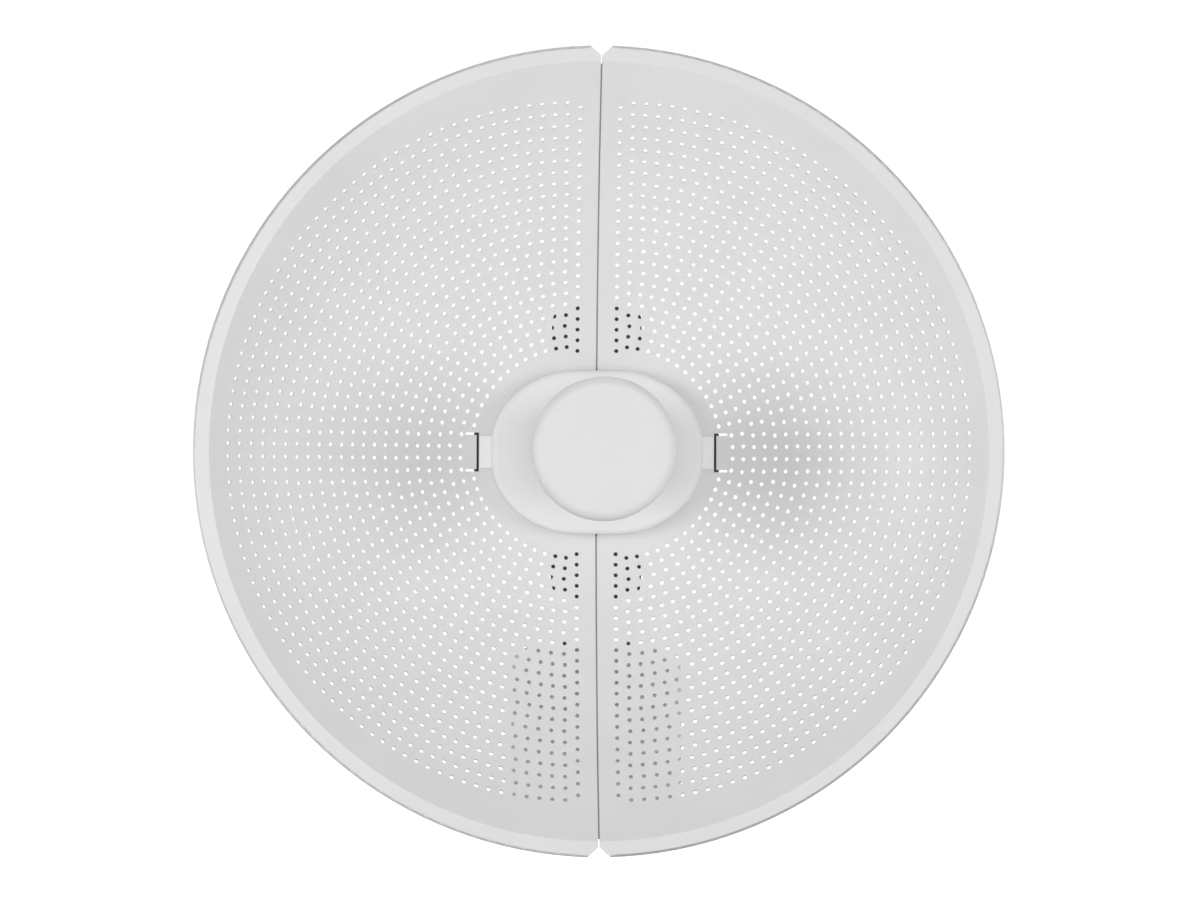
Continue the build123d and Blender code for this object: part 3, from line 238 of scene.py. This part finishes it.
def settle(piece, name, paint, body):
    """Names a piece, puts its place into its mesh, and fixes it to its body."""
    bpy.ops.object.select_all(action="DESELECT")
    piece.select_set(True)
    bpy.context.view_layer.objects.active = piece
    bpy.ops.object.transform_apply(location=True, rotation=True, scale=True)
    bpy.ops.object.mode_set(mode="EDIT")
    bpy.ops.mesh.select_all(action="SELECT")
    bpy.ops.mesh.remove_doubles(threshold=0.000001)
    bpy.ops.mesh.normals_make_consistent(inside=False)
    bpy.ops.object.mode_set(mode="OBJECT")
    bpy.ops.object.shade_smooth_by_angle(angle=math.radians(35))
    piece.name = name
    piece.data.name = name
    piece.data.materials.clear()
    piece.data.materials.append(paint)
    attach(piece, body)
    return piece


def apply_all(piece):
    """Applies every modifier of a piece."""
    bpy.ops.object.select_all(action="DESELECT")
    piece.select_set(True)
    bpy.context.view_layer.objects.active = piece
    for modifier in list(piece.modifiers):
        bpy.ops.object.modifier_apply(modifier=modifier.name)


def close_ends(piece):
    """Fills the open ends of a swept piece."""
    bpy.context.view_layer.objects.active = piece
    bpy.ops.object.mode_set(mode="EDIT")
    bpy.ops.mesh.select_all(action="DESELECT")
    bpy.ops.mesh.select_mode(type="EDGE")
    bpy.ops.mesh.select_non_manifold()
    bpy.ops.mesh.fill_holes(sides=4)
    bpy.ops.mesh.select_mode(type="VERT")
    bpy.ops.object.mode_set(mode="OBJECT")


def rolled_thread(radius, pitch, length, turn):
    """A rolled thread on Z from the origin, turned to lie along an axis."""
    bpy.ops.object.select_all(action="DESELECT")
    bpy.ops.mesh.primitive_circle_add(
        vertices=3, radius=pitch * 0.42, location=(0, 0, 0), rotation=(math.pi / 2, 0, 0)
    )
    ridge = bpy.context.object
    bpy.ops.object.mode_set(mode="EDIT")
    bpy.ops.mesh.select_all(action="SELECT")
    bpy.ops.transform.rotate(value=math.pi / 2, orient_axis="Y", center_override=(0, 0, 0))
    bpy.ops.transform.translate(value=(0, -radius, pitch / 2))
    bpy.ops.object.mode_set(mode="OBJECT")
    bpy.ops.object.transform_apply(location=True, rotation=True, scale=True)
    coil = ridge.modifiers.new("coil", "SCREW")
    coil.axis = "Z"
    coil.angle = 2 * math.pi * (length / pitch - 1)
    coil.screw_offset = length - pitch
    coil.steps = int(20 * (length / pitch - 1))
    coil.render_steps = coil.steps
    apply_all(ridge)
    close_ends(ridge)
    ridge.data.transform(turn)
    return ridge


# The worm's rolled thread shows where the shank stands out of its housing.
worm_radius, worm_pitch, worm_start, worm_clearance = 0.0034, 0.0012, 0.0002, 0.0003
for place in ("upper", "lower"):
    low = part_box(f"worm_screw_{place}")[0]
    house_low, house_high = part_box(f"clamp_housing_{place}")
    middle = (house_low + house_high) / 2
    foot = Matrix.Translation((middle.x, low.y + worm_start, middle.z))
    along_y = foot @ Matrix.Rotation(-math.pi / 2, 4, "X")
    worm_thread = rolled_thread(worm_radius, worm_pitch, house_low.y - low.y - worm_clearance, along_y)
    settle(worm_thread, f"worm_thread_{place}", plated, f"worm_{place}")

# ---------------------------------------------------------------- tilt joint
# One M8 bolt, two washers and a wing nut, all zinc plated, hold the dish at its tilt. The
# bolt's end carries a rolled thread.
dress(plated, "tilt_bolt", "tilt_washers", "wing_nut")
bolt_low, bolt_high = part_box("tilt_bolt")
tilt_axis = Vector((0, (bolt_low.y + bolt_high.y) / 2, 0))
bolt_radius, bolt_pitch, thread_length, thread_set_back = 0.004, 0.00125, 0.0022, 0.003
thread_foot = Matrix.Translation((bolt_high.x - thread_set_back, tilt_axis.y, 0))
along_x = thread_foot @ Matrix.Rotation(math.pi / 2, 4, "Y")
bolt_thread = rolled_thread(bolt_radius, bolt_pitch, thread_length, along_x)
settle(bolt_thread, "bolt_thread", plated, "pole_mount")

# ---------------------------------------------------------------- cradle
# The cradle and its cover are the same black nylon as the saddle, and the pan-head
# screws that hold the plinth are zinc plated.
dress(nylon, "cradle", "spine_cover")
dress(plated, "cradle_screws")


def join_up(pieces):
    """Makes one piece of several, with their places in its mesh."""
    bpy.ops.object.select_all(action="DESELECT")
    for piece in pieces:
        piece.select_set(True)
    bpy.context.view_layer.objects.active = pieces[0]
    bpy.ops.object.transform_apply(location=True, rotation=True, scale=True)
    bpy.ops.object.join()
    return bpy.context.object


# The tilt scale is a fan of fine white marks, one every five degrees, printed on the
# outside of each lug round its washer.
mark_ink, _, _ = grained(
    "mark_ink", (0.6, 0.6, 0.6), (0.68, 0.68, 0.68), 0.55, 3000, 0.00001
)
mark_length, mark_width, mark_thick = 0.0022, 0.00045, 0.00008
mark_reach, mark_edge, mark_step = 0.0116, 0.00003, 5
washer_thick, washer_gap = 0.0016, 0.0002
lug_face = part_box("tilt_washers")[1].x - washer_thick - washer_gap
for side, hand in ((1, "right"), (-1, "left")):
    marks = []
    for step in range(-8, 9):
        long_mark = 1.0 if step % 2 == 0 else 0.6
        bpy.ops.object.select_all(action="DESELECT")
        bpy.ops.mesh.primitive_cube_add(size=1, location=(side * lug_face, tilt_axis.y, 0))
        mark = bpy.context.object
        mark.scale = (mark_thick, mark_length * long_mark, mark_width)
        bpy.ops.object.transform_apply(location=False, rotation=False, scale=True)
        bpy.ops.object.mode_set(mode="EDIT")
        bpy.ops.mesh.select_all(action="SELECT")
        bpy.ops.transform.translate(value=(0, mark_reach - mark_length * long_mark / 2, 0))
        bpy.ops.mesh.bevel(offset=mark_edge, segments=1)
        bpy.ops.object.mode_set(mode="OBJECT")
        mark.rotation_euler = (math.radians(mark_step * step), 0, 0)
        marks.append(mark)
    settle(join_up(marks), f"tilt_scale_{hand}", mark_ink, "aimed_unit")

# ---------------------------------------------------------------- feed electronics
# The guide tube and the plate that closes it are turned aluminium. The probe board is
# green laminate with two brass pins, and two brown coaxial leads run from it.
turned, _, _ = grained(
    "turned_aluminium", (0.62, 0.63, 0.64), (0.74, 0.75, 0.76), 0.28, 1200, 0.00003, 1.0, (0.05, 1.5, 0.05)
)
dress(turned, "waveguide", "backshort", "sub_reflector")

laminate, laminate_shader, laminate_place = start_finish("green_laminate", 0.34)
tracks = laminate.node_tree.nodes.new("ShaderNodeTexBrick")
tracks.inputs["Scale"].default_value = 160
tracks.inputs["Color1"].default_value = (0.012, 0.13, 0.045, 1)
tracks.inputs["Color2"].default_value = (0.016, 0.17, 0.06, 1)
tracks.inputs["Mortar"].default_value = (0.05, 0.3, 0.13, 1)
tracks.inputs["Mortar Size"].default_value = 0.03
lay_flat = laminate.node_tree.nodes.new("ShaderNodeMapping")
lay_flat.inputs["Rotation"].default_value = (math.pi / 2, 0, 0)
laminate.node_tree.links.new(laminate_place, lay_flat.inputs["Vector"])
laminate.node_tree.links.new(lay_flat.outputs[0], tracks.inputs["Vector"])
laminate.node_tree.links.new(tracks.outputs["Color"], laminate_shader.inputs["Base Color"])
emboss(laminate, laminate_shader, tracks.outputs["Fac"], 0.00004)
dress(laminate, "probe_board", "main_board")

brass, _, _ = grained(
    "brass", (0.5, 0.34, 0.12), (0.68, 0.49, 0.2), 0.3, 1500, 0.00002, 1.0
)
dress(brass, "probes", "earth_insert")

jacket, _, _ = grained(
    "brown_jacket", (0.06, 0.03, 0.016), (0.1, 0.05, 0.026), 0.35, 1500, 0.00002
)
dress(jacket, "coax_leads")

# ---------------------------------------------------------------- radio box
# Two shells in white weatherproof plastic with a fine spark-eroded texture meet on a
# black rubber seal, and four plated screws from behind close them.
shell_white, _, _ = grained(
    "textured_white_plastic", (0.7, 0.705, 0.71), (0.74, 0.745, 0.75), 0.52, 2600, 0.00007
)
dress(shell_white, "radio_front_shell", "radio_rear_shell", "port_door")

soft_black, _, _ = grained(
    "black_rubber", (0.014, 0.014, 0.015), (0.024, 0.024, 0.025), 0.68, 2400, 0.00004
)
dress(soft_black, "shell_seal", "cable_gland")
dress(plated, "shell_screws", "hanger_screws", "earth_screw", "earth_washer", "door_pin")

tinned, _, _ = grained(
    "tinned_steel", (0.6, 0.61, 0.62), (0.7, 0.71, 0.72), 0.26, 1100, 0.00002, 1.0, (1, 1, 0.15)
)
dress(tinned, "shielding_can", "ethernet_jack")

brushed, _, _ = grained(
    "brushed_aluminium", (0.56, 0.57, 0.58), (0.7, 0.71, 0.72), 0.36, 900, 0.00003, 1.0, (0.04, 1, 1.5)
)
dress(brushed, "heat_spreader")

switch_black, _, _ = grained(
    "switch_plastic", (0.012, 0.012, 0.013), (0.02, 0.02, 0.021), 0.42, 2500, 0.00002
)
dress(switch_black, "reset_switch", "reset_button")

vent_grey, _, _ = grained(
    "vent_plastic", (0.14, 0.145, 0.15), (0.2, 0.205, 0.21), 0.6, 2200, 0.00005
)
dress(vent_grey, "vent_plug")

clear, clear_shader, clear_place = start_finish("frosted_light_pipe", 0.28)
clear_shader.inputs["Transmission Weight"].default_value = 0.75
clear_shader.inputs["IOR"].default_value = 1.49
clear_frost = speckle(clear, clear_place, 2200)
frosted = shade_between(clear, clear_frost, (0.82, 0.86, 0.84), (0.93, 0.95, 0.94))
clear.node_tree.links.new(frosted, clear_shader.inputs["Base Color"])
emboss(clear, clear_shader, clear_frost, 0.00003)
dress(clear, "light_pipe")

# The socket's eight contacts are gold-plated springs that slant from its roof.
gold, _, _ = grained(
    "gold_plate", (0.7, 0.5, 0.17), (0.8, 0.6, 0.24), 0.24, 1500, 0.00001, 1.0
)
jack_low, jack_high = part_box("ethernet_jack")
jack_middle = (jack_low + jack_high) / 2
contact_pitch, contact_count = 0.00102, 8
contact_size, contact_edge, contact_slant = (0.00045, 0.00025, 0.008), 0.00008, 16
contact_back, contact_up = 0.0027, 0.0085
contacts = []
for i in range(contact_count):
    bpy.ops.object.select_all(action="DESELECT")
    bpy.ops.mesh.primitive_cube_add(size=1, location=(0, 0, 0))
    contact = bpy.context.object
    contact.scale = contact_size
    bpy.ops.object.transform_apply(location=False, rotation=False, scale=True)
    bpy.ops.object.mode_set(mode="EDIT")
    bpy.ops.mesh.select_all(action="SELECT")
    bpy.ops.mesh.bevel(offset=contact_edge, segments=2)
    bpy.ops.mesh.select_all(action="SELECT")
    bpy.ops.transform.rotate(
        value=math.radians(contact_slant), orient_axis="X", center_override=(0, 0, 0)
    )
    bpy.ops.object.mode_set(mode="OBJECT")
    across = (i - (contact_count - 1) / 2) * contact_pitch
    contact.location = (across, jack_middle.y - contact_back, jack_low.z + contact_up)
    contacts.append(contact)
settle(join_up(contacts), "jack_contacts", gold, "aimed_unit")

# A blank rating label of matt silver film lies in the rear shell's recess.
film, _, _ = grained(
    "silver_film", (0.5, 0.505, 0.51), (0.56, 0.565, 0.57), 0.42, 2400, 0.00001, 0.6
)
rear_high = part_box("radio_rear_shell")[1]
label_width, label_height, label_thick, label_depth = 0.0452, 0.0192, 0.00015, 0.0006
label_corner, label_drop = 0.0025, 0.034
bpy.ops.object.select_all(action="DESELECT")
bpy.ops.mesh.primitive_plane_add(size=1, rotation=(-math.pi / 2, 0, 0))
label = bpy.context.object
label.scale = (label_width, label_height, 1)
label.location = (0, rear_high.y - label_depth + label_thick, rear_high.z - label_drop)
bpy.ops.object.transform_apply(location=True, rotation=True, scale=True)
bpy.ops.object.mode_set(mode="EDIT")
bpy.ops.mesh.select_all(action="SELECT")
bpy.ops.mesh.bevel(offset=label_corner, segments=6, affect="VERTICES")
bpy.ops.object.mode_set(mode="OBJECT")
film_sheet = label.modifiers.new("film", "SOLIDIFY")
film_sheet.thickness = label_thick
film_sheet.offset = -1
apply_all(label)
settle(label, "blank_label", film, "aimed_unit")

# Three low ribs on the port door give a finger grip.
door_low, door_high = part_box("port_door")
rib_size, rib_edge, rib_pitch = (0.012, 0.0007, 0.0009), 0.00024, 0.0016
rib_x, rib_inset, rib_count = 0.0165, 0.0022, 3
ribs = []
for i in range(rib_count):
    bpy.ops.object.select_all(action="DESELECT")
    rib_place = (rib_x, door_high.y - rib_inset - rib_pitch * i, door_low.z)
    bpy.ops.mesh.primitive_cube_add(size=1, location=rib_place)
    rib = bpy.context.object
    rib.scale = rib_size
    bpy.ops.object.transform_apply(location=False, rotation=False, scale=True)
    bpy.ops.object.mode_set(mode="EDIT")
    bpy.ops.mesh.select_all(action="SELECT")
    bpy.ops.mesh.bevel(offset=rib_edge, segments=3)
    bpy.ops.object.mode_set(mode="OBJECT")
    ribs.append(rib)
settle(join_up(ribs), "door_ribs", shell_white, "port_door")

# A moulded ring stands round each status light.
light_low, light_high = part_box("light_pipe")
light_radius, light_count = 0.0015, 4
light_pitch = (light_high.x - light_low.x - 2 * light_radius) / (light_count - 1)
light_z = (light_low.z + light_high.z) / 2
ring_radius, ring_wire, ring_flatness = 0.0022, 0.00045, 0.7
rings = []
for i in range(light_count):
    bpy.ops.object.select_all(action="DESELECT")
    bpy.ops.mesh.primitive_torus_add(
        major_radius=ring_radius,
        minor_radius=ring_wire,
        major_segments=40,
        minor_segments=10,
        location=(light_low.x + light_radius + light_pitch * i, rear_high.y, light_z),
        rotation=(math.pi / 2, 0, 0),
    )
    ring = bpy.context.object
    ring.scale = (1, 1, ring_flatness)
    rings.append(ring)
settle(join_up(rings), "light_rings", shell_white, "aimed_unit")

# ---------------------------------------------------------------- dish
# Each half is pressed from perforated steel and powder coated in an off-white satin. The coat has a slight
# orange peel, and the walls of the punched holes are painted a greyer shade: painted shade that stands for
# the shade inside the holes.
coat, coat_shader, coat_place = grained(
    "dish_powder_coat", (0.735, 0.737, 0.745), (0.76, 0.762, 0.768), 0.42, 900, 0.00004
)
bowl_curve, vertex_ahead = 0.292, 0.105
bowl_middle = Vector((0, -vertex_ahead - bowl_curve, 0))
coat_tree = coat.node_tree
outward = coat_tree.nodes.new("ShaderNodeVectorMath")
outward.operation = "SUBTRACT"
outward.inputs[1].default_value = bowl_middle
coat_tree.links.new(coat_place, outward.inputs[0])
straight = coat_tree.nodes.new("ShaderNodeVectorMath")
straight.operation = "NORMALIZE"
coat_tree.links.new(outward.outputs[0], straight.inputs[0])
square_on = coat_tree.nodes.new("ShaderNodeVectorMath")
square_on.operation = "DOT_PRODUCT"
coat_tree.links.new(straight.outputs[0], square_on.inputs[0])
coat_tree.links.new(coat_place.node.outputs["Normal"], square_on.inputs[1])
facing = coat_tree.nodes.new("ShaderNodeMath")
facing.operation = "ABSOLUTE"
coat_tree.links.new(square_on.outputs["Value"], facing.inputs[0])
# Painted shade: where the surface turns away from the bowl, as on the hole walls, the coat is painted a
# darker grey.
hole_wall_painted_shade = coat_tree.nodes.new("ShaderNodeMix")
hole_wall_painted_shade.data_type = "RGBA"
hole_wall_painted_shade.inputs["A"].default_value = (0.52, 0.525, 0.535, 1)
hole_wall_shade_mask = shade_between(coat, facing.outputs[0], (0, 0, 0), (1, 1, 1), 0.25, 0.6)
coat_tree.links.new(hole_wall_shade_mask, hole_wall_painted_shade.inputs["Factor"])
coat_tree.links.new(coat_shader.inputs["Base Color"].links[0].from_socket, hole_wall_painted_shade.inputs["B"])
coat_tree.links.new(hole_wall_painted_shade.outputs["Result"], coat_shader.inputs["Base Color"])
dress(coat, "reflector_left", "reflector_right")

# A thin grey strip closes the seam between the two halves, from the plinth to the rim; it is painted
# shade, dark grey to stand for the shade in the seam's bends.
seam_painted_shade, strip_shader, strip_place = grained(
    "seam_painted_shade_grey", (0.3, 0.3, 0.31), (0.34, 0.34, 0.35), 0.7, 1500, 0.00001
)
strip_sink, strip_thick, strip_width = 0.0004, 0.0005, 0.0007
strip_foot, strip_top = 0.043, 0.1905
strip_start = math.asin(strip_foot / bowl_curve)
strip_end = math.asin(strip_top / bowl_curve)
for hand, part in ((1, "upper"), (-1, "lower")):
    bpy.ops.object.select_all(action="DESELECT")
    bpy.ops.mesh.primitive_plane_add(size=1, location=bowl_middle)
    strip = bpy.context.object
    bpy.ops.object.mode_set(mode="EDIT")
    bpy.ops.mesh.select_all(action="SELECT")
    bpy.ops.transform.resize(value=(strip_width, strip_thick, 1))
    bpy.ops.transform.translate(value=(0, bowl_curve + strip_sink + strip_thick / 2, 0))
    bpy.ops.object.mode_set(mode="OBJECT")
    sweep = strip.modifiers.new("sweep", "SCREW")
    sweep.axis = "X"
    sweep.angle = hand * (strip_end - strip_start)
    sweep.screw_offset = 0
    sweep.steps = sweep.render_steps = 48
    apply_all(strip)
    strip.rotation_euler = (hand * strip_start, 0, 0)
    close_ends(strip)
    settle(strip, f"seam_strip_{part}", seam_painted_shade, "aimed_unit")

# ---------------------------------------------------------------- plinth, neck and cap
# The feed's plinth, neck and cap are moulded in white weatherproof plastic with a satin face, a shade
# cooler and smoother than the dish's coat. It is painted in two copies: the neck's and cap's copy is
# painted darker, painted shade against the front light on the cap's face, and the plinth's copy is painted
# lighter, painted light that makes up for the shadow that the cap casts on the plinth.
satin, _, _ = grained(
    "satin_white_plastic", (0.695, 0.698, 0.708), (0.715, 0.718, 0.726), 0.4, 2600, 0.00003
)
dress(satin, "feed_neck", "feed_cap", "dielectric_spacer")
# Painted light: a lighter copy of the satin plastic for the plinth, which lies in the cap's shadow.
plinth_lightened_satin, _, _ = grained(
    "plinth_satin_painted_light", (0.8, 0.803, 0.813), (0.82, 0.823, 0.831), 0.45, 2600, 0.00003
)
dress(plinth_lightened_satin, "hub_plinth")
